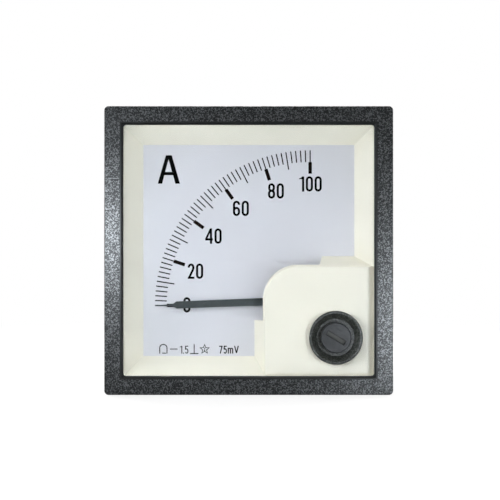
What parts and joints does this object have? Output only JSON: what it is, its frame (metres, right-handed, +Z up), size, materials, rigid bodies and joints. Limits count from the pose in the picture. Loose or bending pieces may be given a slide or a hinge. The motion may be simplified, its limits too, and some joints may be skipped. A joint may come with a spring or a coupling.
{
  "type": "analog panel meter",
  "caption": "Square panel-mounted moving-coil meter with a quarter-circle scale, a pointer pivoting under a corner cover, a slotted zero adjuster and rear studs.",
  "frame": {"origin": "middle of the bezel's rear face, which seats on the panel", "axes": "+X to the viewer's right, +Z up, +Y into the panel"},
  "size_m": [0.072, 0.0636, 0.072],
  "materials": {
    "black_plastic": "fine spark texture",
    "case_plastic": "smooth black moulding",
    "window_clear": "clear",
    "ivory_plastic": "satin ivory moulding",
    "dial_white": "satin white sheet",
    "steel": "zinc plated",
    "soft_iron": "plated soft iron",
    "magnet": "ground cast magnet",
    "brass": "turned brass",
    "bronze": "spring bronze strip",
    "copper": "enamelled copper wire",
    "aluminium": "bare sheet",
    "pointer_black": "dark grey paint",
    "board": "brown laminate"
  },
  "bodies": {
    "housing": {"adjuster_bush": "black_plastic", "bezel": "black_plastic", "bridge_bolt_lower": "steel", "bridge_bolt_upper": "steel", "bridge_nut_lower": "steel", "bridge_nut_upper": "steel", "case": "case_plastic", "chassis_plate": "steel", "chassis_screw_1": "steel", "chassis_screw_2": "steel", "chassis_screw_3": "steel", "chassis_screw_4": "steel", "clamp_nut_minus": "brass", "clamp_nut_plus": "brass", "core_magnet": "magnet", "core_spacer_lower": "brass", "core_spacer_upper": "brass", "dial_plate": "dial_white", "dial_screw_1": "steel", "dial_screw_2": "steel", "front_bridge": "brass", "front_jewel_screw": "brass", "front_lock_nut": "brass", "front_pillar_lower": "brass", "front_pillar_upper": "brass", "lead_to_chassis": "copper", "lead_to_rear_bridge": "copper", "mask": "ivory_plastic", "outer_nut_minus": "brass", "outer_nut_plus": "brass", "pointer_stop_full": "steel", "pointer_stop_zero": "steel", "rear_bridge": "brass", "rear_hairspring": "bronze", "rear_jewel_screw": "brass", "rear_lock_nut": "brass", "rear_pillar_lower": "brass", "rear_pillar_upper": "brass", "resistor_card": "board", "resistor_winding": "copper", "spring_washer_minus": "steel", "spring_washer_plus": "steel", "stud_minus": "brass", "stud_plus": "brass", "washer_minus": "brass", "washer_plus": "brass", "window": "window_clear", "yoke_ring": "soft_iron"},
    "zero_screw": {"zero_screw": "black_plastic"},
    "zero_lever": {"zero_lever": "bronze", "front_hairspring": "bronze"},
    "pointer": {"pointer": "pointer_black", "balance_cross": "aluminium", "balance_weight_tail": "brass", "balance_weight_upper": "brass", "balance_weight_lower": "brass", "coil_former": "aluminium", "coil_winding": "copper", "front_staff": "steel", "rear_staff": "steel"}
  },
  "joints": [
    {"name": "zero_screw_turn", "type": "hinge", "parent": "housing", "child": "zero_screw", "pos_m": [0.0218, -0.004, -0.0218], "axis": [0, 1, 0], "range_deg": [-30, 30]},
    {"name": "zero_lever_turn", "type": "hinge", "parent": "housing", "child": "zero_lever", "pos_m": [0.01577, 0, -0.01413], "axis": [0, 1, 0], "range_deg": [-2.3, 2.3]},
    {"name": "pointer_turn", "type": "hinge", "parent": "zero_lever", "child": "pointer", "pos_m": [0.01577, 0.0022, -0.01413], "axis": [0, 1, 0], "range_deg": [-2, 91], "stiffness_Nm_per_rad": 0.00003}
  ],
  "couplings": [
    {"joint": "zero_lever_turn", "follows": "zero_screw_turn", "ratio": 0.075783}
  ]
}
